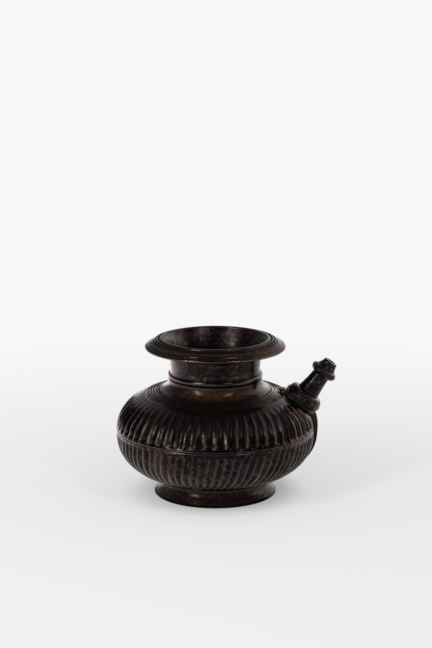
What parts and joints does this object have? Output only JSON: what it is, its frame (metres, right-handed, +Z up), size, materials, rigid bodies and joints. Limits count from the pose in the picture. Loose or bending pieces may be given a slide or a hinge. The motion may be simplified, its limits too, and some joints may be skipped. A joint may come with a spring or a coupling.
{
  "type": "lota water pot",
  "caption": "Squat fluted bronze water pot with a flared foot, a seam band, a ringed neck, a wide sloping rim and a short upright spout on a tailed saddle.",
  "frame": {"origin": "on the ground, under the middle of the pot's bounding box; the pot's own axis stands 8.5 mm towards -X from it", "axes": "+X towards the spout, +Z up along the pot's axis, +Y to the left of someone who looks along the spout"},
  "size_m": [0.1678, 0.151, 0.1207],
  "materials": {
    "fluted_bronze": "cast bronze under a brown-black patina, satin, rubbed lighter on the ridges",
    "turned_bronze": "turned bronze under a brown-black patina, satin to glossy",
    "spout_bronze": "cast bronze under a black-brown patina, green in its corners"
  },
  "bodies": {
    "root": {"foot_ring": "turned_bronze", "lower_bowl": "fluted_bronze", "seam_band": "fluted_bronze", "upper_bowl": "fluted_bronze", "neck": "turned_bronze", "neck_ring": "turned_bronze", "rim": "turned_bronze", "spout_saddle": "spout_bronze", "spout_collar": "spout_bronze", "spout_tube": "spout_bronze", "spout_bead": "spout_bronze", "spout_nozzle": "spout_bronze"}
  },
  "joints": []
}
